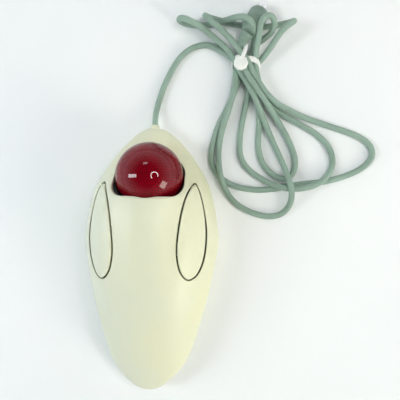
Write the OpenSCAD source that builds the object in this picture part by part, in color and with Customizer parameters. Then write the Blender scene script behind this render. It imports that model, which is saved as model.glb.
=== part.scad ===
// Corded optical trackball for a desk: two casing shells, a lift-out ball in a cup on three
// bearing balls, two long side buttons over micro switches, and a bundled signal cord.
// Millimetres. +Y points to the nose, where the cord leaves, +X to the right, +Z up.
// The origin is on the table under the middle of the casing.

/* [Casing] */
// Length of the casing from tail to nose
body_length = 165; // [160:1:172]
// Width of the casing at its widest
body_width = 83.4; // [81:0.2:88]
// Height of the crest above the table
body_height = 47; // [46:0.5:49]
// Thickness of the casing walls
wall = 2.4; // [2:0.1:2.6]

/* [Ball] */
// Diameter of the ball
ball_d = 40; // [39.6:0.1:40.2]
// Height of the ball's centre above the table
ball_z = 27; // [26.8:0.1:27.6]
// Angle between straight up and the way the ball lifts out
lift_angle = 42; // [40:1:44]
// Diameter of the three bearing balls that carry the ball
bearing_d = 2.4; // [2:0.1:2.5]

/* [Buttons] */
// Gap between a button and the casing
button_gap = 0.55; // [0.4:0.05:0.8]
// How far the inner edge of a button stands above the casing
button_rise = 1.7; // [1:0.1:2.2]

/* [Cord] */
// Diameter of the signal cord
cord_d = 3.8; // [3.4:0.1:4]
// Diameter of the plug's grip
grip_d = 12.5; // [11:0.5:13]

/* [Hidden] */
$fn = 48;

casing_colour = [0.87, 0.87, 0.77];
cord_colour = [0.54, 0.62, 0.56];
board_colour = [0.16, 0.42, 0.22];
steel_colour = [0.75, 0.76, 0.78];
dark_colour = [0.13, 0.13, 0.14];

seam_z = 7;           // the two shells meet here
base_z = 1;           // underside of the base, above the table
floor_z = 3;          // inner floor of the base
shell_top = body_height - seam_z;
half_length = body_length / 2;

// The lines of the casing: [station along Y, value], tail to nose.
PLAN = [[-82.5, 0], [-76, 13.2], [-64, 22], [-45, 28.2], [-25, 33.9], [-6, 38.7],
        [13, 41.7], [25, 40.3], [44, 36], [60, 27.6], [74, 16.1], [82.5, 0]];
CREST = [[-82.5, 0], [-78, 12], [-66, 20.5], [-45, 28.5], [-20, 35], [5, 38.6], [24, 40],
         [38.8, 38.4], [51, 25], [66, 7], [75, 4.6], [80, 3.3], [82.5, 0]];

ball_y = 50.9;
ball_r = ball_d / 2;
cup_r = ball_r + 0.9;      // inner radius of the cup
cup_wall = 1.8;
cup_rim = -4;              // the cup ends this far below the ball's middle, along the lift
bearing_r = bearing_d / 2;
bearing_angle = 60;        // from the cup's axis
bearing_turns = [180, 300, 60];   // front, left and right, about the cup's axis
opening_front = 66.2;      // front edge of the ball opening
opening_rear = 38.8;
opening_half = 20.9;
opening_corner = 7;

sensor_angle = 120;        // turn about X that points +Z from the ball to the sensor
led_x = 7.2;

button_wall = 2.2;
button_post_y = -4;
button_post_x = 25;
pivot_y = 44;
pivot_z = 18;
pivot_r = 1.2;
lug_x = 26.7;              // middle of the button's lug, between the casing's two lugs
lug_w = 3;
casing_lug_w = 1.8;
hinge_x = [22.4, 29];      // inner faces, towards the middle, of the casing's two lugs
// Outline of the right button, anticlockwise from its front tip
BUTTON = [[26.7, 47.2], [22.6, 40.5], [19.9, 30], [18.1, 17], [17.7, 6], [19.8, -4],
          [24.6, -9], [30, -6], [33.6, 3], [34.8, 16], [33.6, 30], [30.4, 42.5]];

board_z = 9;
board_t = 1.6;
board_top = board_z + board_t;
switch_h = 6.5;
switch_top = board_top + switch_h;
plunger_stand = 0.75;      // how far the plunger stands out of its switch

foot_r = 4.5;
foot_h = 1.4;
FEET = [[27, 30], [-27, 30], [17, -50], [-17, -50], [0, 68]];
CASE_SCREWS = [[25, 56], [-25, 56], [13, -62], [-13, -62]];
boss_r = 2.5;              // the posts that the case screws go into
CUP_SCREWS = [[9, 60], [-9, 60], [16, 38], [-16, 38]];
BOARD_SCREWS = [[27, 14], [-27, 14], [0, -42]];
label_size = [34, 22];
label_y = -14;

exit_z = 6.2;
exit_r = 2.8;
exit_y = 84.5;
relief_flange = [9, 1.8, 5];   // holds the strain relief in the nose
relief_y = 77.1;
cord_r = cord_d / 2;
// Route of the lead, from the nose along the table to the hank
LEAD = [[0, 84.5, 6.2], [0, 87.5, 6.2], [0.1, 92, 4.6], [0.8, 97, 2.4], [2, 102, 1.9],
        [4.2, 109, 1.9], [7.2, 116, 1.9], [11, 123.5, 1.9], [16, 130.5, 1.9],
        [22.5, 135.4, 1.9], [29, 137.6, 1.9], [35, 137, 2.1], [40.2, 134.4, 2.9],
        [45, 130.8, 4.2], [49, 128, 5]];
// Route of the lead inside the casing, from the nose round the cup to the header
INNER = [[0, 76.2, 6.2], [0.4, 73.6, 6], [4, 70.4, 5.4], [10, 67.4, 5.2], [15.8, 62.6, 5.2],
         [20, 54, 5.2], [22.4, 42, 5.2], [22.4, 34, 5.6], [20.6, 27, 8.8], [18, 20.5, 13.4],
         [15.8, 15.5, 15.6], [15, 11, 15.7]];
waist = [16, 16, 8];           // the tied middle of the hank
waist_at = [57, 123, 1.2];
hank_h = 3.8;
HANK_LOWER = [[50, 114], [43, 97], [37, 81], [34, 64], [38, 49], [47, 37], [60, 28.6],
              [75, 25.4], [87, 29], [92, 42], [108, 47], [126, 53], [139, 61.5], [141, 72],
              [131, 81.5], [114, 87.5], [96, 94], [80, 101.5], [69.5, 109]];
HANK_UPPER = [[51, 132], [45.5, 138.5], [36, 145], [22, 149.6], [11.5, 152], [17, 157],
              [32, 157.4], [45, 154], [54, 147.6], [60, 141.5], [66, 147.5], [71, 155],
              [84, 155], [87, 150.6], [80, 141.5], [72.5, 132]];
tie_band = [1.2, 3];           // thickness and width of the tie's band
tie_head_r = 4.6;
tie_head_at = [52.5, 123];
tie_tail = [8.4, 2.4, 1.1];    // the band's loose end, out of the head

grip_tilt = 26;                // nose down
grip_turn = -25;               // from straight ahead
grip_front = [63.7, 153.9, 7.45];
grip_length = 16;
shell_r = 4.5;
shell_length = 7.5;
// Route of the plug's flexible relief, from the waist to the grip
RELIEF = [[53.4, 131, 6.4], [53.9, 133.4, 8.8], [55, 137, 12.4], [57.57, 140.74, 14.46]];

// --- curves ---

function secant(v, i) = (pow(v[i+1][1], 2) - pow(v[i][1], 2)) / (v[i+1][0] - v[i][0]);

function slope_at(v, i) =
    i == 0 ? secant(v, 0) :
    i == len(v) - 1 ? secant(v, i - 1) :
    let (a = secant(v, i - 1), b = secant(v, i)) a * b > 0 ? 2 * a * b / (a + b) : 0;

function span_of(v, y, i = 0) = i >= len(v) - 2 || y < v[i+1][0] ? i : span_of(v, y, i + 1);

// A fair curve through stations of positive values. It runs through their squares, so it
// comes to zero with a round end.
function fair(v, y) =
    let (i = span_of(v, y), step = v[i+1][0] - v[i][0], t = (y - v[i][0]) / step,
         a = pow(v[i][1], 2), b = pow(v[i+1][1], 2), p = slope_at(v, i), q = slope_at(v, i + 1))
    sqrt(max(0, (2*t*t*t - 3*t*t + 1) * a + (t*t*t - 2*t*t + t) * step * p
        + (3*t*t - 2*t*t*t) * b + (t*t*t - t*t) * step * q));

function catmull(a, b, c, d, t) =
    0.5 * (2*b + (c - a) * t + (2*a - 5*b + 4*c - d) * t*t + (3*b - a - 3*c + d) * t*t*t);

// A smooth closed outline through a few points, steps to a span
function closed_curve(p, steps) =
    let (n = len(p))
    [for (i = [0:n-1]) for (k = [0:steps-1])
        catmull(p[(i+n-1) % n], p[i], p[(i+1) % n], p[(i+2) % n], k / steps)];

// A smooth open route through its points, steps to a span
function open_curve(p, steps) =
    let (n = len(p), a = concat([2*p[0] - p[1]], p, [2*p[n-1] - p[n-2]]))
    concat([for (i = [0:n-2]) for (k = [0:steps-1])
        catmull(a[i], a[i+1], a[i+2], a[i+3], k / steps)], [p[n-1]]);

function unit(v) = v / norm(v);

// An outline moved inwards by d, for outlines drawn anticlockwise
function inset(p, d) =
    let (n = len(p))
    [for (i = [0:n-1])
        let (t = unit(p[(i+1) % n] - p[(i+n-1) % n])) p[i] + d * [-t[1], t[0]]];

function half_width(y) = body_width / 83.4 * fair(PLAN, y * 165 / body_length);
function crest(y) = shell_top / 40 * fair(CREST, y * 165 / body_length);
function bulge(u) = pow(1 - pow(min(u, 1), 2.3), 1 / 1.9);
// Two shallow scoops run beside the crest, behind the ball
function scoop(x, y) = 1.5 * exp(-pow((abs(x) - 16) / 7, 2) - pow((y - 20) / 22, 2));

// Height of the casing's outside above the table
function top_z(x, y) =
    let (w = half_width(y), b = w > 0 ? bulge(abs(x) / w) : 0) seam_z + (crest(y) - scoop(x, y)) * b;

// --- shapes ---

// The closed body under the casing's top surface: smaller by d all round, with straight sides
// that go down by skirt below the seam.
module dome(d, stations, ribs, skirt) {
    kx = (body_width / 2 - d) / (body_width / 2);
    ky = (half_length - d) / half_length;
    ys = [for (i = [1:stations-1]) -half_length * cos(180 * i / stations)];
    function lift(x, y) =
        let (w = half_width(y), b = w > 0 ? bulge(abs(x) / w) : 0)
        seam_z + max(0.4, crest(y) - scoop(x, y) - d) * b;
    rings = [for (y = ys) concat(
        [[kx * half_width(y), ky * y, seam_z - skirt]],
        [for (k = [0:ribs]) let (x = half_width(y) * cos(180 * k / ribs))
            [kx * x, ky * y, k == 0 || k == ribs ? seam_z : lift(x, y)]],
        [[-kx * half_width(y), ky * y, seam_z - skirt]])];
    ends = skirt > 0 ? 0 : 1;
    loft([for (r = rings) [for (k = [ribs + 2 - ends:-1:ends]) r[k]]],
         [0, -ky * half_length, seam_z - skirt], [0, ky * half_length, seam_z - skirt]);
}

// Rings of points joined into one closed body that ends in a point at each end. Seen against
// the way from the first point to the last, each ring runs anticlockwise.
module loft(rings, first, last) {
    m = len(rings);
    n = len(rings[0]);
    points = concat([for (r = rings) each r], [first, last]);
    sides = [for (i = [0:m-2]) for (k = [0:n-1]) let (l = (k + 1) % n)
        each [[i*n + k, (i+1)*n + k, (i+1)*n + l], [i*n + k, (i+1)*n + l, i*n + l]]];
    tail = [for (k = [0:n-1]) [m*n, k, (k + 1) % n]];
    nose = [for (k = [0:n-1]) [m*n + 1, (m-1)*n + (k + 1) % n, (m-1)*n + k]];
    polyhedron(points = points, faces = concat(sides, tail, nose), convexity = 6);
}

// The casing's outline as a stack of rings: [height, inset] from bottom to top
module tub(levels, steps) {
    side = [for (i = [1:steps-1]) let (y = -half_length * cos(180 * i / steps)) [half_width(y), y]];
    outline = concat([[0, -half_length]], side, [[0, half_length]],
        [for (i = [len(side)-1:-1:0]) [-side[i][0], side[i][1]]]);
    rings = [for (l = levels) [for (p = outline)
        [p[0] * (1 - 2 * l[1] / body_width), p[1] * (1 - l[1] / half_length), l[0]]]];
    loft(rings, [0, 0, levels[0][0]], [0, 0, levels[len(levels)-1][0]]);
}

// A tube along a route, with one radius at each point
module tube(route, radii, sides) {
    n = len(route);
    rings = [for (i = [0:n-1])
        let (way = unit(route[min(i+1, n-1)] - route[max(i-1, 0)]),
             across = unit(cross(way, [0, 0, 1])), up = cross(across, way))
        [for (k = [0:sides-1]) let (a = 360 * k / sides)
            route[i] + radii[i] * (cos(a) * across + sin(a) * up)]];
    loft([for (r = rings) [for (i = [sides-1:-1:0]) r[i]]], route[0], route[n-1]);
}

module at_ball() translate([0, ball_y, ball_z]) children();
module along_lift() at_ball() rotate([-lift_angle, 0, 0]) children();
module along_sensor() at_ball() rotate([sensor_angle, 0, 0]) children();
module along_bearing(turn) along_lift() rotate([0, 0, turn]) rotate([180 - bearing_angle, 0, 0]) children();
module along_nose(y) translate([0, y, exit_z]) rotate([-90, 0, 0]) children();
module right_and_left() { children(); mirror([1, 0, 0]) children(); }
module at_each(places) for (p = places) translate([p[0], p[1], 0]) children();

module box(size, at) translate([at[0] - size[0]/2, at[1] - size[1]/2, at[2]]) cube(size);

function opening_outline() = concat(
    [for (a = [0:7.5:180]) [opening_half * cos(a), ball_y + 1 + (opening_front - ball_y - 1) * sin(a)]],
    [for (a = [180:15:270]) [-opening_half + opening_corner + opening_corner * cos(a),
                             opening_rear + opening_corner + opening_corner * sin(a)]],
    [for (a = [270:15:360]) [opening_half - opening_corner + opening_corner * cos(a),
                             opening_rear + opening_corner + opening_corner * sin(a)]]);

function button_outline(gap) = inset(closed_curve(BUTTON, 4), gap);

// --- casing ---

module upper_casing() {
    pilot = 1.15;
    color(casing_colour) union() {
        difference() {
            dome(0, 40, 24, 0);
            dome(wall, 28, 16, 3);
            translate([0, 0, seam_z + 1]) linear_extrude(60) polygon(opening_outline());
            right_and_left() translate([0, 0, seam_z + 4]) linear_extrude(60)
                polygon(button_outline(0));
            relief_way();
            at_ball() sphere(r = ball_r + 0.5);
        }
        difference() {
            intersection() {
                dome(1.2, 20, 14, 5);
                union() {
                    at_each(CASE_SCREWS) translate([0, 0, floor_z]) cylinder(r = boss_r, h = 50);
                    right_and_left() {
                        for (x = hinge_x) translate([x, pivot_y - 3, pivot_z - 2.6])
                            cube([casing_lug_w, 6, 30]);
                    }
                }
            }
            at_each(CASE_SCREWS) translate([0, 0, -1]) cylinder(r = pilot, h = 12);
            translate([-50, pivot_y, pivot_z]) rotate([0, 90, 0])
                cylinder(r = pivot_r + 0.08, h = 100);
            right_and_left() translate([0, 0, pivot_z + 4.6]) linear_extrude(60)
                polygon(button_outline(-0.2));
        }
    }
}

module base_casing() {
    color(casing_colour) difference() {
        union() {
            difference() {
                tub([[base_z, 5.5], [1.9, 3.6], [4.2, 1], [seam_z, 0]], 30);
                tub([[floor_z, 6.6], [4.8, 3.6], [seam_z + 1, 2.4]], 24);
            }
            at_each(BOARD_SCREWS) translate([0, 0, floor_z - 1]) cylinder(r = 3, h = board_z - floor_z + 1);
        }
        at_each(CASE_SCREWS) screw_way();
        at_each(CUP_SCREWS) screw_way();
        at_each(BOARD_SCREWS) translate([0, 0, floor_z + 1]) cylinder(r = 0.95, h = 10);
        at_each(FEET) translate([0, 0, -1]) cylinder(r = foot_r + 0.1, h = foot_h + 1);
        box([label_size[0] + 0.4, label_size[1] + 0.4, 1.25], [0, label_y, 0]);
        at_each(CASE_SCREWS) translate([0, 0, floor_z]) cylinder(r = boss_r + 0.1, h = 10);
        relief_way();
    }
}

// The bore in the nose and the pocket behind it, which holds the strain relief's flange
module relief_way() {
    along_nose(70) cylinder(r = exit_r + 0.1, h = 30);
    box(relief_flange + [0.2, 0.2, 0.2], [0, relief_y, exit_z - 2.9]);
}

// The hole and the head's recess for a screw that comes up through the base
module screw_way() {
    translate([0, 0, -1]) cylinder(r = 1.4, h = 10);
    translate([0, 0, -1]) cylinder(r = 2.5, h = 3);
}

// A screw that comes up through the base, with its slot
module rising_screw() {
    difference() {
        union() {
            translate([0, 0, base_z + 0.1]) cylinder(r = 2.3, h = 0.9);
            translate([0, 0, base_z + 0.5]) cylinder(r = 1.1, h = 7.4);
        }
        box([3.4, 0.6, 0.5], [0, 0, base_z - 0.1]);
        box([0.6, 3.4, 0.5], [0, 0, base_z - 0.1]);
    }
}

module case_screws() color(steel_colour) at_each(CASE_SCREWS) rising_screw();

module cup_screws() color(steel_colour) at_each(CUP_SCREWS) rising_screw();

module board_screws() {
    color(steel_colour) at_each(BOARD_SCREWS) translate([0, 0, board_top]) difference() {
        union() {
            cylinder(r = 2.2, h = 1.3);
            translate([0, 0, -6]) cylinder(r = 0.9, h = 6.5);
        }
        box([3, 0.5, 1], [0, 0, 0.8]);
        box([0.5, 3, 1], [0, 0, 0.8]);
    }
}

module feet() color([0.35, 0.36, 0.36]) at_each(FEET) cylinder(r = foot_r, h = foot_h);

module rating_label() color([0.82, 0.83, 0.84]) box([label_size[0], label_size[1], 0.15], [0, label_y, 1.1]);

// --- buttons ---

// How far a button stands above the casing: most along its inner edge, next to nothing at the
// outer edge and the front tip.
function rise(x, y) =
    let (u = max(0, min(1, (35 - x) / 13)), v = max(0, min(1, (48 - y) / 18)))
    0.15 + (button_rise - 0.15) * u * u * (3 - 2*u) * v;

module right_button() {
    edge = button_outline(button_gap);
    middle = [26.5, 18];
    shares = [1, 0.93, 0.72, 0.4];
    drops = [0.7, 0, 0, 0];
    function at_share(p, s) = middle + s * (p - middle);
    top = [for (j = [0:3]) [for (p = edge) let (q = at_share(p, shares[j]))
        [q[0], q[1], top_z(q[0], q[1]) + rise(q[0], q[1]) - drops[j]]]];
    under = [for (j = [0:3]) [for (p = edge) let (q = at_share(p, shares[j]))
        [q[0], q[1], top_z(q[0], q[1]) - button_wall]]];
    top_middle = [middle[0], middle[1], top_z(middle[0], middle[1]) + rise(middle[0], middle[1])];
    under_middle = [middle[0], middle[1], top_z(middle[0], middle[1]) - button_wall];
    rings = [under[3], under[2], under[1], under[0], top[0], top[1], top[2], top[3]];
    color(casing_colour) union() {
        loft(rings, under_middle, top_middle);
        post_top = top_z(button_post_x, button_post_y) - 0.8;
        post_foot = switch_top + plunger_stand + 0.05;
        translate([button_post_x, button_post_y, post_foot]) cylinder(r = 2.4, h = post_top - post_foot);
        lug_top = top_z(lug_x, pivot_y) - 1;
        translate([lug_x - lug_w/2, pivot_y - 2, pivot_z]) cube([lug_w, 3.4, lug_top - pivot_z]);
        translate([hinge_x[0] + 0.2, pivot_y, pivot_z]) rotate([0, 90, 0]) cylinder(r = pivot_r, h = 7.2);
        translate([lug_x - lug_w/2, pivot_y, pivot_z]) rotate([0, 90, 0]) cylinder(r = 2, h = lug_w);
    }
}

module left_button() mirror([1, 0, 0]) right_button();

// --- ball and cup ---

module hollow_ball(outer, inner) at_ball() rotate_extrude() intersection() {
    difference() { circle(r = outer); circle(r = inner); }
    translate([0, -outer - 1]) square([outer + 1, 2 * outer + 2]);
}

module ball_core() color([0.35, 0.02, 0.05]) at_ball() sphere(r = 6);

module ball_middle() color([0.45, 0.02, 0.07]) hollow_ball(12, 6.05);

module ball() color([0.52, 0.03, 0.09]) hollow_ball(ball_r, 12.05);

module ball_cup() {
    color(dark_colour) difference() {
        union() {
            along_lift() difference() {
                sphere(r = cup_r + cup_wall);
                translate([-30, -30, cup_rim]) cube(60);
            }
            at_each([CUP_SCREWS[0], CUP_SCREWS[1]]) translate([0, 0, floor_z]) cylinder(r = 3, h = 6.5);
            at_each([CUP_SCREWS[2], CUP_SCREWS[3]]) translate([0, 0, floor_z]) cylinder(r = 3, h = 17);
        }
        at_ball() sphere(r = cup_r);
        at_each(CUP_SCREWS) translate([0, 0, floor_z - 1]) cylinder(r = 1.15, h = 7.2);
        for (turn = bearing_turns) along_bearing(turn)
            translate([0, 0, ball_r]) cylinder(r = bearing_r + 0.05, h = 2.55);
        along_sensor() cylinder(r = 4.5, h = 30);
        for (s = [-1, 1]) along_sensor() translate([s * led_x, 0, 0]) cylinder(r = 1.9, h = 30);
    }
}

module bearing(turn) {
    color(steel_colour) along_bearing(turn) translate([0, 0, ball_r + bearing_r + 0.05])
        sphere(r = bearing_r);
}

module support_ball_front() bearing(bearing_turns[0]);

module support_ball_left() bearing(bearing_turns[1]);

module support_ball_right() bearing(bearing_turns[2]);

// --- optics, looking at the ball through the cup ---

holder_z = 23.2;
holder_t = 4.8;
chip_t = 2.4;
sensor_board_z = holder_z + holder_t + chip_t;

module optics_holder() {
    color(dark_colour) along_sensor() difference() {
        union() {
            translate([0, 0, 21.5]) cylinder(r = 4.4, h = holder_z - 21.3);
            box([20, 12, holder_t], [0, 0, holder_z]);
        }
        translate([0, 0, 20]) cylinder(r = 3.5, h = 4.5);
        cylinder(r = 2.2, h = 40);
        for (s = [-1, 1]) translate([s * led_x, 0, 20]) cylinder(r = 1.6, h = 20);
    }
}

module sensor_lens() {
    color([0.8, 0.85, 0.88]) along_sensor() translate([0, 0, 22.4]) cylinder(r = 3.4, h = 2);
}

module sensor_chip() {
    color(dark_colour) along_sensor() box([8, 9, chip_t], [0, 0, holder_z + holder_t]);
}

module sensor_board() {
    color(board_colour) along_sensor() difference() {
        box([24, 15, 1.2], [0, 0, sensor_board_z]);
        for (s = [-1, 1]) for (t = [-1, 1]) translate([s * led_x, 1.27 * t, 20])
            cylinder(r = 0.45, h = 20);
    }
}

module led(side) {
    color([0.55, 0.5, 0.6]) along_sensor() translate([side * led_x, 0, 0]) {
        translate([0, 0, 24.6]) cylinder(r = 1.5, h = 3.6);
        translate([0, 0, 24.6]) sphere(r = 1.5);
        for (t = [-1, 1]) translate([0, 1.27 * t * 0.55, 28]) cylinder(r = 0.25, h = 2.4);
    }
}

module led_left() led(-1);

module led_right() led(1);

// --- main board ---

module main_board() {
    outline = [[-31, 20], [-31, -24], [-20, -46], [20, -46], [31, -24], [31, 20]];
    color(board_colour) difference() {
        translate([0, 0, board_z]) linear_extrude(board_t) polygon(outline);
        at_each(BOARD_SCREWS) cylinder(r = 1.3, h = 20);
        right_and_left() at_each(terminals) cylinder(r = 0.6, h = 20);
    }
}

terminals = [for (s = [-1:1]) [button_post_x, button_post_y + 5 * s]];

module right_switch_case() {
    color(dark_colour) difference() {
        box([5.8, 12.8, switch_h], [button_post_x, button_post_y, board_top]);
        box([2.4, 3.4, 3], [button_post_x, button_post_y, switch_top - 2]);
    }
}

module left_switch_case() mirror([1, 0, 0]) right_switch_case();

module right_switch_plunger() {
    color([0.85, 0.2, 0.15]) box([2, 3, 1 + plunger_stand], [button_post_x, button_post_y, switch_top - 1]);
}

module left_switch_plunger() mirror([1, 0, 0]) right_switch_plunger();

module right_switch_terminals() {
    color(steel_colour) at_each(terminals) translate([0, 0, board_z - 1.6]) cylinder(r = 0.5, h = board_t + 1.6);
}

module left_switch_terminals() mirror([1, 0, 0]) right_switch_terminals();

module controller_chip() {
    color(dark_colour) {
        box([7, 24, 3.2], [-8, -14, board_top + 0.6]);
        for (s = [-1, 1]) for (i = [0:8])
            box([1.4, 0.6, 1.6], [-8 + 3.7 * s, -14 + 2.54 * (i - 4), board_top]);
    }
}

module resonator() {
    color([0.85, 0.6, 0.2]) translate([6, -8, board_top]) union() {
        box([3, 7, 5], [0, 0, 0]);
        for (s = [-1, 1]) translate([0, 3.5 * s, 0]) cylinder(r = 1.5, h = 5);
    }
}

module capacitors() {
    color([0.2, 0.25, 0.4]) {
        translate([12, -22, board_top]) cylinder(r = 2.5, h = 7);
        translate([14, -33, board_top]) cylinder(r = 3.15, h = 8);
        translate([-14, -35, board_top]) cylinder(r = 2, h = 5);
    }
}

module resistors() {
    color([0.8, 0.7, 0.5]) for (i = [0:4]) translate([2, -20 - 4 * i, board_top + 1.1])
        rotate([0, 90, 0]) union() {
            cylinder(r = 1.05, h = 6);
            translate([0, 0, -1.6]) cylinder(r = 0.3, h = 9.2);
        }
}

// A flat flexible link from the back of the sensor board to the main board
module board_link() {
    middle = [[22.3, 13], [20.8, 12.9], [19.1, 12.4], [17.5, 11.6], [16.4, 10.7]];
    band = concat([for (p = middle) p + [0, 0.2]], [for (i = [4:-1:0]) middle[i] - [0.05, 0.2]]);
    level = [for (p = band) [p[0], max(p[1], board_top)]];
    color([0.85, 0.8, 0.65]) translate([-14, 0, 0]) rotate([90, 0, 90]) linear_extrude(11) polygon(level);
}

module cable_header() {
    color([0.9, 0.9, 0.86]) union() {
        box([12, 6, 3], [15, 7, board_top]);
        for (i = [-2:2]) translate([15 + 2 * i, 7, board_top + 2]) cylinder(r = 0.35, h = 4);
    }
}

module cable_connector() {
    color([0.93, 0.93, 0.9]) difference() {
        box([12, 8, 5.6], [15, 7, board_top + 3]);
        for (i = [-2:2]) translate([15 + 2 * i, 7, board_top]) cylinder(r = 0.45, h = 7.2);
    }
}

// --- cord, inside and out ---

module even_tube(points, steps, r, sides) {
    route = open_curve(points, steps);
    tube(route, [for (p = route) r], sides);
}

module inner_lead() color(cord_colour) even_tube(INNER, 2, cord_r, 8);

module strain_relief() {
    color(casing_colour) union() {
        box(relief_flange, [0, relief_y, exit_z - 2.8]);
        along_nose(77) cylinder(r = exit_r, h = 6);
        along_nose(83) cylinder(r1 = exit_r, r2 = cord_r + 0.3, h = exit_y - 83);
    }
}

module lead_cord() color(cord_colour) even_tube(LEAD, 3, cord_r, 8);

module hank_waist() {
    color(cord_colour) translate([waist_at[0], waist_at[1] - waist[1]/2, waist_at[2]])
        rotate([-90, 0, 0]) translate([0, -waist[2]/2, 0]) linear_extrude(waist[1]) union() {
            square([waist[0] - waist[2], waist[2]], center = true);
            for (s = [-1, 1]) translate([s * (waist[0] - waist[2])/2, 0]) circle(d = waist[2]);
        }
}

module hank_lower() color(cord_colour) linear_extrude(hank_h) polygon(closed_curve(HANK_LOWER, 4));

module hank_upper() color(cord_colour) linear_extrude(hank_h) polygon(closed_curve(HANK_UPPER, 4));

module stadium(width, height) {
    square([width - height, height], center = true);
    for (s = [-1, 1]) translate([s * (width - height)/2, 0]) circle(d = height);
}

module cord_tie() {
    t = tie_band[0];
    middle_z = waist_at[2] + waist[2]/2;
    color([0.93, 0.95, 0.93]) union() {
        translate([waist_at[0], 121.5, middle_z]) rotate([-90, 0, 0]) linear_extrude(tie_band[1])
            difference() {
                stadium(waist[0] + 2*t, waist[2] + 2*t);
                stadium(waist[0], waist[2]);
            }
        translate([tie_head_at[0], tie_head_at[1], middle_z + waist[2]/2 + t - 0.4])
            cylinder(r = tie_head_r, h = 3.6);
        translate([tie_head_at[0], tie_head_at[1], middle_z + waist[2]/2 + t + 0.8])
            rotate([0, 0, 70]) cube(tie_tail);
    }
}

// --- plug ---

module along_plug() {
    translate(grip_front) rotate([0, 0, grip_turn]) rotate([-90 - grip_tilt, 0, 0]) children();
}

module plug_relief() {
    route = open_curve(RELIEF, 3);
    n = len(route) - 1;
    color(cord_colour) tube(route, [for (i = [0:n]) cord_r + 0.2 + 1.6 * i / n], 12);
}

module plug_grip() {
    r = grip_d / 2;
    color(cord_colour) along_plug() rotate_extrude() polygon([[0, -grip_length], [3.9, -grip_length],
        [r - 1, -grip_length + 4], [r, -grip_length + 8], [r, -1.2], [r - 1.2, 0], [0, 0]]);
}

module plug_shell() {
    color(steel_colour) along_plug() difference() {
        cylinder(r = shell_r, h = shell_length);
        translate([0, 0, -0.5]) cylinder(r = shell_r - 0.4, h = shell_length + 1);
    }
}

module plug_insert() color(dark_colour) along_plug() cylinder(r = shell_r - 0.45, h = 2);

module plug_pins() {
    spots = [[-2.3, -1.2], [2.3, -1.2], [-2.6, 1.2], [2.6, 1.2], [-1.1, 2.7], [1.1, 2.7]];
    color([0.8, 0.7, 0.4]) along_plug() for (p = spots) translate([p[0], p[1], 2]) cylinder(r = 0.5, h = 4.5);
}

upper_casing();
base_casing();
left_button();
right_button();
ball_core();
ball_middle();
ball();
ball_cup();
support_ball_front();
support_ball_left();
support_ball_right();
optics_holder();
sensor_lens();
sensor_chip();
sensor_board();
led_left();
led_right();
main_board();
controller_chip();
resonator();
capacitors();
resistors();
board_link();
left_switch_case();
right_switch_case();
left_switch_plunger();
right_switch_plunger();
left_switch_terminals();
right_switch_terminals();
cable_header();
cable_connector();
inner_lead();
strain_relief();
case_screws();
cup_screws();
board_screws();
feet();
rating_label();
lead_cord();
hank_waist();
hank_lower();
hank_upper();
cord_tie();
plug_relief();
plug_grip();
plug_shell();
plug_insert();
plug_pins();
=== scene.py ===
"""A corded optical trackball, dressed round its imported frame.

The casing, the buttons, the ball, the cord with its tie and the plug are built here. What is
inside and underneath keeps its own shape and gets its finish here. The frame is in metres, with
+Y to the nose. Lines that come from the casing's design are kept in millimetres.
"""

import math

import bmesh
import bpy
import numpy as np
from mathutils import Matrix, Vector
from mathutils.kdtree import KDTree


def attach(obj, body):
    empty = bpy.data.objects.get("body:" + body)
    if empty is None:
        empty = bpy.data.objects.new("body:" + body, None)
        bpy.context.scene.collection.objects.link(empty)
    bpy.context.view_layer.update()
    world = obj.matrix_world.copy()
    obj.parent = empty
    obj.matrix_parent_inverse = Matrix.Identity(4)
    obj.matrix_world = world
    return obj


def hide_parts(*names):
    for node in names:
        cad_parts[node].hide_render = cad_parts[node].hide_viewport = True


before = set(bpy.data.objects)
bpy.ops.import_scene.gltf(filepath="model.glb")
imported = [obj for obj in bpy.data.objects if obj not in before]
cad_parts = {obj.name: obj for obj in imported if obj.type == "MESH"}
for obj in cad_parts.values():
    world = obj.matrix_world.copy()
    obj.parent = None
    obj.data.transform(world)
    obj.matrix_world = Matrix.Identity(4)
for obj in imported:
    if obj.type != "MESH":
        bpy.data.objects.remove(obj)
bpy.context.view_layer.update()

bl_info = {
    "name": "Trackball",
    "version": (1, 0, 0),
    "blender": (4, 5, 0),
    "location": "View3D > Sidebar > Trackball",
    "description": "Builds the casing, ball, cord and finishes of a corded trackball",
    "category": "Object",
}

MM = 0.001

# --- the lines of the design, in millimetres ---

HALF_LENGTH = 82.5
BODY_WIDTH = 83.4
SEAM_Z = 7.0
# [station along Y, value], tail to nose: half of the width, and the crest above the seam
PLAN = [(-82.5, 0), (-76, 13.2), (-64, 23.2), (-45, 29.9), (-25, 35.3), (-6, 39.3), (13, 41.7),
        (25, 40.3), (44, 36), (60, 27.6), (74, 16.1), (82.5, 0)]
CREST = [(-82.5, 0), (-78, 12), (-66, 20.5), (-45, 28.5), (-20, 35), (5, 38.6), (24, 40),
         (38.8, 38.4), (51, 25), (66, 7), (75, 4.6), (80, 3.3), (82.5, 0)]
BALL_AT = (0, 50.9, 27)
BALL_ROOM = 20.5
WALL = 2.4
OPENING = {"half": 20.9, "front": 66.2, "rear": 38.8, "corner": 7, "middle": 51.9}
# Outline of the right button, anticlockwise from its front tip
BUTTON = [(26.7, 47.2), (22.6, 40.5), (19.9, 30), (18.1, 17), (17.7, 6), (19.8, -4),
          (24.6, -9), (30, -6), (33.6, 3), (34.8, 16), (33.6, 30), (30.4, 42.5)]
BUTTON_MIDDLE = (26.5, 18)
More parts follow.
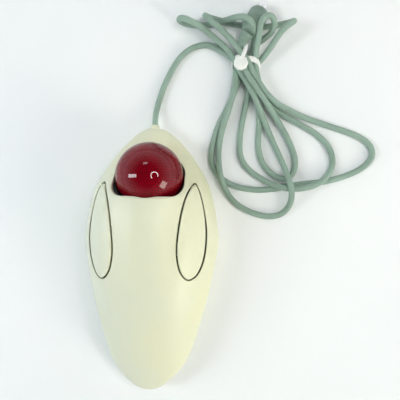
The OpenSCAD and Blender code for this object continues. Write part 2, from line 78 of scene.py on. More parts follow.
# Where a button turns, and where its post meets the switch: (across, along)
PIVOT_AT = (26.7, 44)
PIVOT_Z = 18
POST_AT = (25, -4)
POST_LOW = 17.85
BUTTON_GAP = 0.95
BUTTON_RISE = 1.7
FEET = [(27, 30), (-27, 30), (17, -50), (-17, -50), (0, 68)]
CASE_SCREWS = [(25, 56), (-25, 56), (13, -62), (-13, -62)]
CUP_SCREWS = [(9, 60), (-9, 60), (16, 38), (-16, 38)]
LABEL = {"size": (34, 22), "y": -14}
NOSE_Z = 6.2
NOSE_R = 2.9

# Route of the cord's centre line. The lead comes first, from the nose to the tie.
LEAD = [(0, 84.5, 6.2), (0, 87.5, 6.2), (0.1, 92, 4.6), (0.8, 97, 2.4), (2, 102, 1.9),
        (4.2, 109, 1.9), (7.2, 116, 1.9), (11, 123.5, 1.9), (16, 130.5, 1.9),
        (22.5, 135.4, 1.9), (29, 137.6, 1.9), (35, 137, 2.1), (40.2, 134.4, 2.9),
        (45, 130.8, 4.2), (49, 128, 5)]
# The loops, in the order that the cord takes: near side, far side, near side and so on
LOOPS = [
    # near, the longest reach, and back over the others
    (51.1, 123, 3.3), (51, 115.5, 3.6), (49.9, 107.5, 4.5), (46.6, 95, 5.2), (42.4, 81, 3.2),
    (40.7, 68, 2.4), (41.6, 56, 5.2), (44.6, 46.4, 3.5), (50.6, 37.2, 1.9), (60.1, 30.8, 1.9),
    (72.1, 27.4, 1.9), (81.5, 28.9, 1.9), (87, 35.5, 4), (87.2, 43.5, 8.8), (85.2, 51.2, 8.8),
    (82.2, 60, 5), (78.7, 68.4, 3), (74.8, 77, 2.2), (70.9, 85.6, 3), (67.2, 93.5, 6),
    (63.9, 100.8, 7.4), (60.6, 108, 7.6), (56.4, 115.5, 7.4), (51.3, 123, 7.2),
    # far, to the left
    (46.3, 131.6, 8), (40.4, 136.7, 8.5), (34.4, 141.3, 9.5), (28.4, 145.5, 11),
    (24.2, 147, 14.2), (20, 148.8, 15.8), (15.8, 150.4, 14.2), (14, 151, 9),
    (15.6, 151, 3.8), (20.6, 150.4, 1.9), (30.8, 149.9, 2.2), (38, 150.2, 5), (45, 150.4, 10.5),
    (50.8, 150.2, 15.6), (55.8, 149.2, 18.4), (59.4, 146.4, 18.8), (61.3, 142.6, 16.5),
    (62.2, 138.4, 12.6), (61.8, 133.6, 8.6), (59.4, 128, 4.6), (55.2, 122.6, 3.2),
    # near, far out to the right along the table
    (53, 115.5, 2.6), (50.8, 108.5, 2.2), (46.5, 98, 1.9), (41.2, 87, 1.9), (37.6, 76.5, 1.9),
    (36, 66, 1.9), (37.8, 57.6, 1.9), (43.5, 50.6, 1.9), (51.8, 46.5, 1.9), (60, 44.9, 1.9),
    (68.2, 44.4, 1.9), (77, 45.4, 1.9), (86, 47.2, 1.9), (95.5, 48.9, 1.9), (105.1, 49.9, 1.9),
    (115, 52, 1.9), (124.1, 55.1, 1.9), (132, 59, 1.9), (138, 64.8, 1.9), (139, 70.6, 1.9),
    (135.6, 76.2, 1.9), (128.6, 80.2, 1.9), (121, 82.9, 1.9), (113.3, 85.4, 1.9),
    (103.5, 88.4, 2.2), (93.9, 91.7, 3), (85.8, 95.2, 4), (78.3, 98.8, 5.2), (72.2, 103.6, 6.4),
    (67, 109.4, 7.4), (62.6, 115.8, 7.8), (58.9, 122.6, 7.6), (55.4, 128.2, 9.4),
    # far, to the left and on to the right behind the plug
    (50.2, 134.6, 10.8), (45.8, 139.2, 10.8), (40.7, 143.8, 12.4), (36.4, 146.4, 14.8),
    (33, 149.4, 15.6), (30.8, 152.2, 12.8), (30.8, 154, 7.4), (34, 154.4, 3), (40, 153.4, 1.9),
    (48, 151.6, 1.9), (55.5, 150, 1.9), (63, 149.3, 1.9), (70, 149.5, 1.9), (77, 150.4, 1.9),
    (82.8, 151.4, 2.6), (86.2, 151.2, 6.4), (86.4, 149.6, 11.8), (83.2, 146.8, 15),
    (79.2, 143.6, 14), (76, 139.8, 10.4), (73, 135.1, 8.6), (69.4, 130, 6), (65.4, 126, 4),
    (62.9, 122, 3.3),
    # near, the middle loop
    (61, 114, 2.6), (59.4, 107, 2.2), (58.2, 100.6, 1.9), (56.9, 94.2, 1.9), (55.2, 85, 1.9),
    (54.2, 75.6, 1.9), (54.6, 67.4, 1.9), (57.4, 60.6, 1.9), (63.6, 54.6, 1.9), (71, 50.2, 3),
    (78.6, 46.9, 5), (86.1, 45.3, 5.7), (93.4, 45.6, 5.7), (100.1, 47.1, 5.6), (106.2, 50.2, 5),
    (110.9, 54.8, 3), (113.8, 60.6, 1.9), (113.6, 67.2, 1.9), (110.6, 73.8, 1.9),
    (105.9, 78.6, 1.9), (100.2, 82.6, 1.9), (93.8, 86.2, 1.9), (87.2, 89.8, 1.9),
    (81.2, 93.2, 2), (75.4, 97.4, 2.2), (70.6, 102.4, 2.8), (67.4, 108.4, 3.8), (65, 115, 5.4),
    (63, 122, 7.2),
    # far, a short loop over the front of the plug
    (62.9, 128.5, 8), (63.1, 134.5, 10), (63.8, 139.5, 14), (64.4, 143.8, 17), (65.4, 147.8, 19.2),
    (69, 150.8, 19), (73, 149.8, 16.4), (74.2, 145.8, 13), (72, 142.2, 9.4),
    (67.6, 139.6, 6.5), (63.4, 137.6, 4.2), (61.4, 133.4, 3.2), (60, 128.6, 3.2), (59, 122.6, 3.3),
    # near, the shortest loop, and up through the tie to the plug
    (60.8, 115.6, 3.4), (62.8, 108.8, 3), (64.6, 102, 2.6), (66.4, 94.6, 2), (66.6, 86.4, 1.9),
    (66.2, 77.6, 1.9), (66.6, 69.4, 1.9), (69, 62, 1.9), (73, 56.8, 1.9), (77.8, 52.9, 1.9),
    (82.8, 51.5, 1.9), (87.2, 53, 1.9), (89.8, 57.4, 1.9), (90.3, 63, 1.9), (88.8, 69.2, 1.9),
    (86.2, 75, 1.9), (83.2, 80.8, 2.4), (79.8, 86.2, 3.2), (76.2, 91.6, 4.6), (72.2, 97.4, 6.2),
    (68, 103, 7.4), (63.8, 108.8, 8), (59, 115.4, 8), (55.2, 122.6, 7.2), (53.8, 127.4, 6.4),
    (53.4, 131, 6.4), (53.9, 133.4, 8.8),
]
# The route settles in steps of one length, and opens bends of less than one radius
CORD_STEP = 1.9
TIGHTEST_BEND = 6
CORD_PASSES = 200
# The run at the nose that keeps its place
CORD_FIXED = 60
# Centre line of the plug's flexible relief
RELIEF = [(53.4, 131, 6.4), (53.9, 133.4, 8.8), (55, 137, 12.4), (57.57, 140.74, 14.46)]
WAIST = {"at": (57, 123), "z": 5.2, "width": 16, "height": 8}
TIE_HEAD = (53.6, 123)
PLUG = {"front": (63.7, 153.9, 7.45), "tilt": 26, "turn": -25, "length": 16,
        "radius": 6.25, "shell": 4.5, "shell_length": 7.5}


# --- settings that a user would change ---


class TrackballFinish(bpy.types.PropertyGroup):
    """Colours and grain of the trackball."""

    casing: bpy.props.FloatVectorProperty(
        name="Casing", description="Colour of the casing's plastic",
        subtype="COLOR", size=3, min=0, max=1, default=(0.69, 0.73, 0.61))
    # Painted warm light: the casing runs from its own colour at -X to this colour at +X, warmer
    # where warm light falls. This colour also gives the random yellowing.
    casing_yellowed_and_warm_lit: bpy.props.FloatVectorProperty(
        name="Yellowed and warm-lit casing", description="Colour where the casing has yellowed, and its painted warm light towards +X",
        subtype="COLOR", size=3, min=0, max=1, default=(0.76, 0.75, 0.49))
    ball: bpy.props.FloatVectorProperty(
        name="Ball", description="Colour of the ball's resin",
        subtype="COLOR", size=3, min=0, max=1, default=(0.22, 0.0015, 0.009))
    ball_dots: bpy.props.FloatVectorProperty(
        name="Ball dots", description="Colour of the dots that the sensor follows",
        subtype="COLOR", size=3, min=0, max=1, default=(0.03, 0.0004, 0.0015))
    cord: bpy.props.FloatVectorProperty(
        name="Cord", description="Colour of the cord's jacket and the plug",
        subtype="COLOR", size=3, min=0, max=1, default=(0.235, 0.335, 0.27))
    tie: bpy.props.FloatVectorProperty(
        name="Tie", description="Colour of the nylon tie",
        subtype="COLOR", size=3, min=0, max=1, default=(0.9, 0.92, 0.88))
    grain: bpy.props.FloatProperty(
        name="Grain", description="Size of the moulded grain on the plastic",
        unit="LENGTH", min=0.0001, max=0.002, default=0.00035)


class TrackballSizes(bpy.types.PropertyGroup):
    """Sizes of what is built on the frame."""

    lip: bpy.props.FloatProperty(
        name="Lip", description="Radius of the rounded lip round the ball's opening",
        unit="LENGTH", min=0.0002, max=0.0015, default=0.0009)
    button_edge: bpy.props.FloatProperty(
        name="Button edge", description="Radius of the rounded edge of a button",
        unit="LENGTH", min=0.0003, max=0.002, default=0.0012)
    ball_radius: bpy.props.FloatProperty(
        name="Ball radius", description="Radius of the ball",
        unit="LENGTH", min=0.0195, max=0.0201, default=0.02)
    dots_to_edge: bpy.props.IntProperty(
        name="Dots to an edge", description="Dots along each edge of the ball's lattice",
        min=10, max=24, default=14)
    cord_diameter: bpy.props.FloatProperty(
        name="Cord diameter", description="Diameter of the cord",
        unit="LENGTH", min=0.003, max=0.004, default=0.0038)
    cord_length: bpy.props.FloatProperty(
        name="Cord length", description="Length of the cord from the nose to the plug",
        unit="LENGTH", min=1.0, max=2.0, default=1.38)


class TrackballView(bpy.types.PropertyGroup):
    """The camera over the desk."""

    height: bpy.props.FloatProperty(
        name="Height", description="Height of the camera over the desk",
        unit="LENGTH", min=0.2, max=1, default=0.282)
    lens: bpy.props.FloatProperty(
        name="Lens", description="Focal length of the camera in millimetres",
        unit="CAMERA", min=10, max=200, default=38.97)
    across: bpy.props.FloatProperty(
        name="Across", description="Place of the camera along X",
        unit="LENGTH", min=-0.2, max=0.2, default=0.0383)
    along: bpy.props.FloatProperty(
        name="Along", description="Place of the camera along Y",
        unit="LENGTH", min=-0.2, max=0.2, default=0.0374)
    aim: bpy.props.FloatProperty(
        name="Aim", description="Place along X of the point that the camera looks at",
        unit="LENGTH", min=-0.2, max=0.2, default=0.0293)
    turn: bpy.props.FloatProperty(
        name="Turn", description="Turn of the camera about its own axis",
        subtype="ANGLE", min=-0.3, max=0.3, default=math.radians(1.05))


def finish_settings():
    return bpy.context.scene.trackball_finish


def sizes():
    return bpy.context.scene.trackball_sizes


# --- curves ---


def fair(stations, y):
    """A fair curve through stations of positive values. It runs through their squares, so it
    comes to zero with a round end."""
    last = len(stations) - 1
    y = min(max(y, stations[0][0]), stations[last][0])
    i = next(k for k in range(last) if y <= stations[k + 1][0])

    def secant(k):
        (y0, v0), (y1, v1) = stations[k], stations[k + 1]
        return (v1 * v1 - v0 * v0) / (y1 - y0)

    def slope(k):
        if k == 0:
            return secant(0)
        if k == last:
            return secant(last - 1)
        a, b = secant(k - 1), secant(k)
        return 2 * a * b / (a + b) if a * b > 0 else 0

    (y0, v0), (y1, v1) = stations[i], stations[i + 1]
    step = y1 - y0
    t = (y - y0) / step
    square = ((2 * t**3 - 3 * t**2 + 1) * v0 * v0 + (t**3 - 2 * t**2 + t) * step * slope(i)
              + (3 * t**2 - 2 * t**3) * v1 * v1 + (t**3 - t**2) * step * slope(i + 1))
    return math.sqrt(max(0, square))


def half_width(y):
    return fair(PLAN, y)


def bulge(u):
    """Height of the casing's cross-section, from 1 at its middle to 0 at its edge."""
    return (1 - min(u, 1) ** 2.3) ** (1 / 1.9)


def scoop(x, y):
    """Two shallow scoops run beside the crest, behind the ball."""
    return 1.5 * math.exp(-(((abs(x) - 16) / 7) ** 2) - ((y - 20) / 22) ** 2)


def top_z(x, y):
    """Height of the casing's outside."""
    width = half_width(y)
    share = bulge(abs(x) / width) if width > 0 else 0
    return SEAM_Z + (fair(CREST, y) - scoop(x, y)) * share


def catmull(a, b, c, d, t):
    return [0.5 * (2 * q + (r - p) * t + (2 * p - 5 * q + 4 * r - s) * t * t
                   + (3 * q - p - 3 * r + s) * t**3) for p, q, r, s in zip(a, b, c, d)]


def closed_curve(points, steps):
    n = len(points)
    return [catmull(points[i - 1], points[i], points[(i + 1) % n], points[(i + 2) % n], k / steps)
            for i in range(n) for k in range(steps)]


def open_curve(points, steps):
    first = [2 * a - b for a, b in zip(points[0], points[1])]
    last = [2 * a - b for a, b in zip(points[-1], points[-2])]
    p = [first, *points, last]
    curve = [catmull(p[i], p[i + 1], p[i + 2], p[i + 3], k / steps)
             for i in range(len(points) - 1) for k in range(steps)]
    return [*curve, list(points[-1])]


def inset(outline, d):
    """An anticlockwise outline moved inwards by d, which is one number or one a point."""
    n = len(outline)
    each = d if isinstance(d, list) else [d] * n
    moved = []
    for i, (x, y) in enumerate(outline):
        (x0, y0), (x1, y1) = outline[i - 1], outline[(i + 1) % n]
        length = math.hypot(x1 - x0, y1 - y0) or 1
        moved.append((x - each[i] * (y1 - y0) / length, y + each[i] * (x1 - x0) / length))
    return moved


def smoothstep(low, high, x):
    t = min(max((x - low) / (high - low), 0), 1)
    return t * t * (3 - 2 * t)


# --- mesh tools ---


def rim_of(ring):
    """The open edges at a ring of vertices, each once and in order."""
    return list(dict.fromkeys(
        e for v in ring for e in v.link_edges if e.is_boundary or e.is_wire))


def hoop(bm, rings):
    """Joins rings of points one after another, and the last to the first."""
    loops = []
    for places in rings:
        ring = bmesh.ops.create_circle(bm, segments=len(places), radius=1)["verts"]
        for vert, place in zip(ring, places):
            vert.co = place
        loops.append(rim_of(ring))
    for i, loop in enumerate(loops):
        bmesh.ops.bridge_loops(bm, edges=[*loops[i - 1], *loop])
    bmesh.ops.recalc_face_normals(bm, faces=bm.faces)


def stack(bm, rings):
    """Carries a ring of points from place to place, which leaves a skin behind it, and closes
    both ends."""
    ring = bmesh.ops.create_circle(bm, segments=len(rings[0]), radius=1)["verts"]
    for vert, place in zip(ring, rings[0]):
        vert.co = place
    for places in rings[1:]:
        edges = rim_of(ring)
        made = bmesh.ops.extrude_edge_only(bm, edges=edges)["geom"]
        fresh = {v for v in made if isinstance(v, bmesh.types.BMVert)}
        ring = [next(e.other_vert(v) for e in v.link_edges if e.other_vert(v) in fresh)
                for v in ring]
        for vert, place in zip(ring, places):
            vert.co = place
    close(bm)


def close(bm):
    """Fills every open rim and turns the faces outwards."""
    bmesh.ops.holes_fill(bm, edges=[e for e in bm.edges if e.is_boundary], sides=0)
    bmesh.ops.recalc_face_normals(bm, faces=bm.faces)


def to_object(name, bm, sharp=35):
    """Turns a bmesh in millimetres into an object in metres, smooth but for its sharp edges."""
    bmesh.ops.scale(bm, vec=(MM, MM, MM), verts=bm.verts)
    mesh = bpy.data.meshes.new(name)
    bm.to_mesh(mesh)
    bm.free()
    shade(mesh, sharp)
    piece = bpy.data.objects.new(name, mesh)
    bpy.context.scene.collection.objects.link(piece)
    return piece


def shade(mesh, sharp):
    """Smooth shading, but for edges sharper than that many degrees."""
    for face in mesh.polygons:
        face.use_smooth = True
    mesh.set_sharp_from_angle(angle=math.radians(sharp))


def cut(piece, cutters, join=False, sharp=35):
    """Takes the cutters out of a piece, or joins them to it, and removes them."""
    for cutter in cutters:
        step = piece.modifiers.new("cut", "BOOLEAN")
        step.operation = "UNION" if join else "DIFFERENCE"
        step.solver = "MANIFOLD"
        step.object = cutter
    bpy.context.view_layer.update()
    graph = bpy.context.evaluated_depsgraph_get()
    mesh = bpy.data.meshes.new_from_object(piece.evaluated_get(graph))
    if len(mesh.polygons) < 4:
        raise RuntimeError(f"nothing is left of {piece.name} after its cuts")
    piece.modifiers.clear()
    piece.data = mesh
    mesh.name = piece.name
    shade(mesh, sharp)
    for cutter in cutters:
        bpy.data.objects.remove(cutter)
    return piece


def place(piece, body, material, replaces=(), slot=None):
    """Gives a finished piece its material, its body and what it stands for."""
    piece.data.materials.clear()
    piece.data.materials.append(material)
    if replaces:
        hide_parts(*replaces)
    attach(piece, body)
    return piece


def turn_about(axis, degrees):
    return Matrix.Rotation(math.radians(degrees), 3, axis)


def move(bm, by):
    bmesh.ops.translate(bm, vec=by, verts=bm.verts)


def swing(bm, axis, degrees):
    """Turns a bmesh about an axis through the origin."""
    bmesh.ops.rotate(bm, cent=(0, 0, 0), verts=bm.verts, matrix=turn_about(axis, degrees))


def rod(radius, length, segments=48):
    """A round bar about Z, with its middle at the origin, in millimetres."""
    bm = bmesh.new()
    bmesh.ops.create_cone(bm, cap_ends=True, segments=segments, radius1=radius, radius2=radius,
                          depth=length)
    return bm


def column(name, at, radius, low, high):
    """An upright round bar, in millimetres."""
    bm = rod(radius, high - low)
    move(bm, (*at, (low + high) / 2))
    return to_object(name, bm)


def block(name, size, low):
    """A box, by its size and the middle of its underside, in millimetres."""
    bm = bmesh.new()
    bmesh.ops.create_cube(bm, size=1)
    bmesh.ops.scale(bm, vec=size, verts=bm.verts)
    move(bm, (low[0], low[1], low[2] + size[2] / 2))
    return to_object(name, bm)


# --- finishes ---


class Finish:
    """A material with one shader, and the few nodes that give it its detail."""

    def __init__(self, name, colour, roughness, **constants):
        self.material = bpy.data.materials.new(name)
        self.material.use_nodes = True
        self.nodes = self.material.node_tree.nodes
        self.links = self.material.node_tree.links
        self.shader = self.nodes["Principled BSDF"]
        self.shader.inputs["Base Color"].default_value = (*colour, 1)
        self.shader.inputs["Roughness"].default_value = roughness
        for socket, value in constants.items():
            self.shader.inputs[socket.replace("_", " ")].default_value = value
        self.material.diffuse_color = (*colour, 1)
        self.place = self.nodes.new("ShaderNodeTexCoord").outputs["Object"]

    def noise(self, size, detail):
        """Cloudy noise whose blotches are about size metres across."""
        node = self.nodes.new("ShaderNodeTexNoise")
        node.inputs["Scale"].default_value = 1 / size
        node.inputs["Detail"].default_value = detail
        node.inputs["Roughness"].default_value = 0.55
        self.links.new(self.place, node.inputs["Vector"])
        return node.outputs["Fac"]

    def ramp(self, value, low, high, start=0.0, end=1.0):
        """Runs a value from start at low to end at high."""
        node = self.nodes.new("ShaderNodeMapRange")
        node.inputs["From Min"].default_value = low
        node.inputs["From Max"].default_value = high
        node.inputs["To Min"].default_value = start
        node.inputs["To Max"].default_value = end
        self.links.new(value, node.inputs["Value"])
        return node.outputs["Result"]

    def mix(self, share, a, b):
        """Mixes two colours, each a colour or a socket, by a share."""
        node = self.nodes.new("ShaderNodeMix")
        node.data_type = "RGBA"
        self.links.new(share, node.inputs["Factor"])
        for socket, colour in ((node.inputs[6], a), (node.inputs[7], b)):
            if isinstance(colour, bpy.types.NodeSocket):
                self.links.new(colour, socket)
            else:
                socket.default_value = (*colour, 1)
        return node.outputs[2]

    def combine(self, operation, a, b):
        node = self.nodes.new("ShaderNodeMath")
        node.operation = operation
        for socket, value in zip(node.inputs, (a, b)):
            if isinstance(value, bpy.types.NodeSocket):
                self.links.new(value, socket)
            else:
                socket.default_value = value
        return node.outputs[0]

    def axis(self, name):
        node = self.nodes.new("ShaderNodeSeparateXYZ")
        self.links.new(self.place, node.inputs[0])
        return node.outputs[name]

    def attribute(self, name):
        node = self.nodes.new("ShaderNodeAttribute")
        node.attribute_name = name
        return node.outputs["Fac"]

    def colour(self, socket):
        self.links.new(socket, self.shader.inputs["Base Color"])

    def roughness(self, socket):
        self.links.new(socket, self.shader.inputs["Roughness"])

    def bump(self, height, depth, strength):
        """Raises the surface by height, a socket from 0 to 1, times depth metres."""
        node = self.nodes.new("ShaderNodeBump")
        node.inputs["Distance"].default_value = depth
        node.inputs["Strength"].default_value = strength
        self.links.new(height, node.inputs["Height"])
        self.links.new(node.outputs["Normal"], self.shader.inputs["Normal"])


def darker(colour, by):
    return tuple(c * by for c in colour)


def moulded_plastic(name, colour, yellowed_and_warm_lit):
    """Light plastic with a fine moulded grain, which has yellowed here and there and gone a little
    glossy where hands rub it. Its colour also carries painted warm light: cooler towards -X and
    warmer, yellower towards +X."""
    f = Finish(name, colour, 0.42, Specular_IOR_Level=0.5, Coat_Weight=0.08, Coat_Roughness=0.25)
    clouds = f.ramp(f.noise(0.045, 2), 0.35, 0.65)
    # Painted warm light: the colour runs from the casing colour at -X towards the yellowed colour
    # at +X, as if warm light fell from that side. The clouds add real yellowing at random.
    yellowing_and_warm_light = f.combine("ADD", f.ramp(f.axis("X"), -0.05, 0.05, 0.0, 0.7),
                     f.combine("MULTIPLY", clouds, 0.3))
    base = f.mix(yellowing_and_warm_light, colour, yellowed_and_warm_lit)
    specks = f.ramp(f.noise(0.0006, 2), 0.3, 0.36)
    f.colour(f.mix(specks, darker(colour, 0.93), base))
    f.roughness(f.ramp(f.noise(0.02, 3), 0.3, 0.7, 0.36, 0.5))
    f.bump(f.noise(finish_settings().grain, 3), 0.00004, 0.35)
    return f.material


def ball_resin():
    """Deep red resin under a clear skin, with fine dark dots."""
    s = finish_settings()
    f = Finish("ball_resin", s.ball, 0.3, Specular_IOR_Level=0, Coat_Weight=0.85,
               Coat_Roughness=0.02, Coat_IOR=1.45)
    dots = f.ramp(f.attribute("dot_distance"), 0.00034, 0.00048)
    depth = f.ramp(f.noise(0.012, 2), 0.3, 0.7)
    red = f.mix(depth, s.ball, darker(s.ball, 0.8))
    f.colour(f.mix(dots, s.ball_dots, red))
    f.roughness(f.ramp(f.noise(0.004, 3), 0.3, 0.7, 0.26, 0.36))
    return f.material


def jacket(name, colour):
    """Soft grey-green vinyl, a little dusty, with faint scuffs."""
    f = Finish(name, colour, 0.5, Specular_IOR_Level=0.4, Sheen_Weight=0.08,
               Sheen_Roughness=0.5)
    dusty = f.ramp(f.noise(0.018, 3), 0.35, 0.7)
    worn = tuple(min(1, c * 1.25 + 0.01) for c in colour)
    base = f.mix(dusty, colour, worn)
    scuffs = f.ramp(f.noise(0.0012, 4), 0.62, 0.72)
    f.colour(f.mix(scuffs, base, darker(colour, 1.35)))
    f.roughness(f.ramp(f.noise(0.006, 3), 0.3, 0.7, 0.42, 0.6))
    f.bump(f.noise(0.0007, 3), 0.00003, 0.4)
    return f.material


def nylon():
    """Milky nylon that light goes a little way into."""
    f = Finish("tie_nylon", finish_settings().tie, 0.35, Subsurface_Weight=0.35,
               Subsurface_Scale=0.002, Subsurface_Radius=(1, 1, 0.9), Specular_IOR_Level=0.5)
    f.colour(f.mix(f.ramp(f.noise(0.004, 2), 0.3, 0.7), finish_settings().tie,
                   darker(finish_settings().tie, 0.9)))
    f.bump(f.noise(0.0009, 2), 0.00003, 0.3)
    return f.material


def metal(name, colour, roughness):
    """Plated metal with fine brushing."""
    f = Finish(name, colour, roughness, Metallic=1.0)
    f.roughness(f.ramp(f.noise(0.0015, 4), 0.3, 0.7, roughness * 0.7, roughness * 1.4))
    f.colour(f.mix(f.ramp(f.noise(0.003, 3), 0.3, 0.7), colour, darker(colour, 0.88)))
    f.bump(f.noise(0.0003, 2), 0.00001, 0.3)
    return f.material


def dull(name, colour, roughness, grain=0.0004):
    """Plain moulded material with small changes of colour and a fine grain."""
    f = Finish(name, colour, roughness)
    f.colour(f.mix(f.ramp(f.noise(0.006, 3), 0.3, 0.7), colour, darker(colour, 0.85)))
    f.roughness(f.ramp(f.noise(0.003, 2), 0.3, 0.7, roughness * 0.85, min(1, roughness * 1.15)))
    f.bump(f.noise(grain, 3), 0.00003, 0.4)
    return f.material


def circuit_board():
    """Green lacquer over copper tracks."""
    f = Finish("board", (0.02, 0.14, 0.05), 0.3)
    tracks = f.nodes.new("ShaderNodeTexBrick")
    for socket, value in (("Scale", 220.0), ("Mortar Size", 0.06), ("Row Height", 0.5),
                          ("Brick Width", 2.2)):
        tracks.inputs[socket].default_value = value
    f.links.new(f.place, tracks.inputs["Vector"])
    base = f.mix(tracks.outputs["Fac"], (0.02, 0.14, 0.05), (0.05, 0.24, 0.08))
    f.colour(f.mix(f.ramp(f.noise(0.01, 2), 0.3, 0.7), base, (0.015, 0.11, 0.04)))
    f.roughness(f.ramp(f.noise(0.002, 2), 0.3, 0.7, 0.25, 0.4))
    f.bump(tracks.outputs["Fac"], 0.00003, 0.5)
    return f.material


def clear_plastic():
    """Clear plastic, as for a lens."""
    f = Finish("clear_plastic", (0.9, 0.94, 0.96), 0.08, Transmission_Weight=0.85, IOR=1.49)
    f.roughness(f.ramp(f.noise(0.002, 2), 0.3, 0.7, 0.04, 0.12))
    return f.material


def label_film():
    """Silvery film with a pale printed border."""
    f = Finish("label_film", (0.62, 0.63, 0.64), 0.35, Metallic=0.3)
    f.colour(f.mix(f.ramp(f.noise(0.0012, 3), 0.35, 0.65), (0.62, 0.63, 0.64), (0.55, 0.56, 0.58)))
    f.roughness(f.ramp(f.noise(0.004, 2), 0.3, 0.7, 0.3, 0.45))
    f.bump(f.noise(0.002, 2), 0.00002, 0.3)
    return f.material


# --- pieces ---


class TRACKBALL_OT_camera(bpy.types.Operator):
    """Put the camera over the desk, looking down and a little to one side"""

    bl_idname = "trackball.camera"
    bl_label = "Camera"

    def execute(self, context):
        view = context.scene.trackball_view
        data = bpy.data.cameras.new("camera")
        data.sensor_width = 36
        data.lens = view.lens
        data.clip_start = 0.01
        camera = bpy.data.objects.new("camera", data)
        context.scene.collection.objects.link(camera)
        camera.location = (view.across, view.along, view.height)
        lean = math.atan2(view.across - view.aim, view.height)
        camera.rotation_euler = (Matrix.Rotation(view.turn, 3, "Z")
                                 @ Matrix.Rotation(lean, 3, "Y")).to_euler()
        context.scene.camera = camera
        return {"FINISHED"}


def spaced(points, step):
    """Points at even steps along a line."""
    points = np.array(points, float)
    along = np.concatenate([[0], np.cumsum(np.linalg.norm(np.diff(points, axis=0), axis=1))])
    at = np.linspace(0, along[-1], math.ceil(along[-1] / step) + 1)
    return np.stack([np.interp(at, along, points[:, k]) for k in range(3)], axis=1)


def settle(points, radius):
    """Lets a route lie down: strands that cross are pushed apart, tight bends open, and
    nothing goes below the table."""
    line = spaced(points, CORD_STEP)
    home = line.copy()
    index = np.arange(len(line))
    free = ((index * CORD_STEP > CORD_FIXED) & (index < len(line) - 3)).astype(float)[:, None]
    apart = np.abs(index[:, None] - index[None, :]) > 8
    for _ in range(CORD_PASSES):
        # Bends even out, and tight ones more, along with six steps on either side
        bend = np.zeros_like(line)
        bend[1:-1] = line[:-2] + line[2:] - 2 * line[1:-1]
        tight = np.linalg.norm(bend, axis=1) * TIGHTEST_BEND / CORD_STEP**2
        ease = np.clip(tight - 0.7, 0, 1)
        ease = np.max([np.roll(ease, k) for k in range(-6, 7)], axis=0)[:, None]
        line += (0.1 + 0.1 * ease) * bend * free
        # The line is drawn back to its route, less so in height
        pull = (home - line) * free * (1 - 0.7 * ease)
        pull[:, 2] *= 0.35
        line += 0.12 * pull
        # Strands that overlap are pushed apart, more so in height
        gap = line[:, None, :] - line[None, :, :]
        dist = np.sqrt((gap**2).sum(2)) + 1e-9
        near = apart & (dist < 2 * radius)
        share = np.where(near, (2 * radius - dist) / dist, 0.0)
        push = (gap * share[:, :, None]).sum(1) / np.maximum(near.sum(1), 1)[:, None]
        push[:, 2] *= 1.6
        line += 0.5 * push * free
        line[:, 2] = np.where(free[:, 0] > 0, np.maximum(line[:, 2], radius), line[:, 2])
    return line


class TRACKBALL_OT_cord(bpy.types.Operator):
    """Lay the cord from the nose through its tied loops to the plug"""

    bl_idname = "trackball.cord"
    bl_label = "Cord"

    def execute(self, context):
        radius = sizes().cord_diameter / MM / 2
        lead = open_curve(LEAD, 4)
        loops = open_curve([LEAD[-1], *LOOPS], 4)[1:]
        line = settle([*lead, *loops], radius)
        data = bpy.data.curves.new("signal_cord", "CURVE")
        data.dimensions = "3D"
        data.bevel_depth = radius * MM
        data.bevel_resolution = 5
        data.use_fill_caps = True
        spline = data.splines.new("POLY")
        spline.points.add(len(line) - 1)
        for point, (x, y, z) in zip(spline.points, line):
            point.co = (x * MM, y * MM, z * MM, 1)
        spline.use_smooth = True
        cord = bpy.data.objects.new("signal_cord", data)
        context.scene.collection.objects.link(cord)
        cord.data.materials.append(jacket("cord_jacket", finish_settings().cord))
        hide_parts("lead_cord", "hank_waist", "hank_lower", "hank_upper")
        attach(cord, "casing")
        return {"FINISHED"}


def dome(wall, ribs, stations, skirt):
    """The closed body under the casing's top, smaller by wall all round, in millimetres."""
    groove = 0.25 if wall == 0 else 0
    kx, ky = 1 - 2 * wall / BODY_WIDTH, 1 - wall / HALF_LENGTH
    bm = bmesh.new()
    bmesh.ops.create_grid(bm, x_segments=ribs, y_segments=stations, size=1)
    for vert in bm.verts:
        y = HALF_LENGTH * math.sin(vert.co.y * math.pi / 2)
        share = math.sin(vert.co.x * math.pi / 2)
        x = half_width(y) * share
        rise = max(0.4 if wall else 0.0, fair(CREST, y) - scoop(x, y) - wall - groove)
        vert.co = (kx * x, ky * y, SEAM_Z + groove + rise * bulge(abs(share)))
    bmesh.ops.remove_doubles(bm, verts=bm.verts, dist=0.002)
    rim = [e for e in bm.edges if e.is_boundary]
    made = bmesh.ops.extrude_edge_only(bm, edges=rim)["geom"]
    inwards = 0.3 if groove else 0
    for vert in (v for v in made if isinstance(v, bmesh.types.BMVert)):
        vert.co.x *= 1 - 2 * inwards / BODY_WIDTH
        vert.co.y *= 1 - inwards / HALF_LENGTH
        vert.co.z = SEAM_Z - skirt
    close(bm)
    return bm


def opening_outline():
    """The ball's opening, anticlockwise: a half ellipse in front, straight sides, and a
    straight rear edge with round corners."""
    o = OPENING
    front = [(o["half"] * math.cos(a), o["middle"] + (o["front"] - o["middle"]) * math.sin(a))
             for a in (math.pi * k / 48 for k in range(49))]
    c = o["corner"]
    left = [(c - o["half"] + c * math.cos(a), o["rear"] + c + c * math.sin(a))
            for a in (math.pi * (1 + k / 24) for k in range(13))]
    right = [(o["half"] - c + c * math.cos(a), o["rear"] + c + c * math.sin(a))
             for a in (math.pi * (1.5 + k / 24) for k in range(13))]
    return [*front, *left, *right]


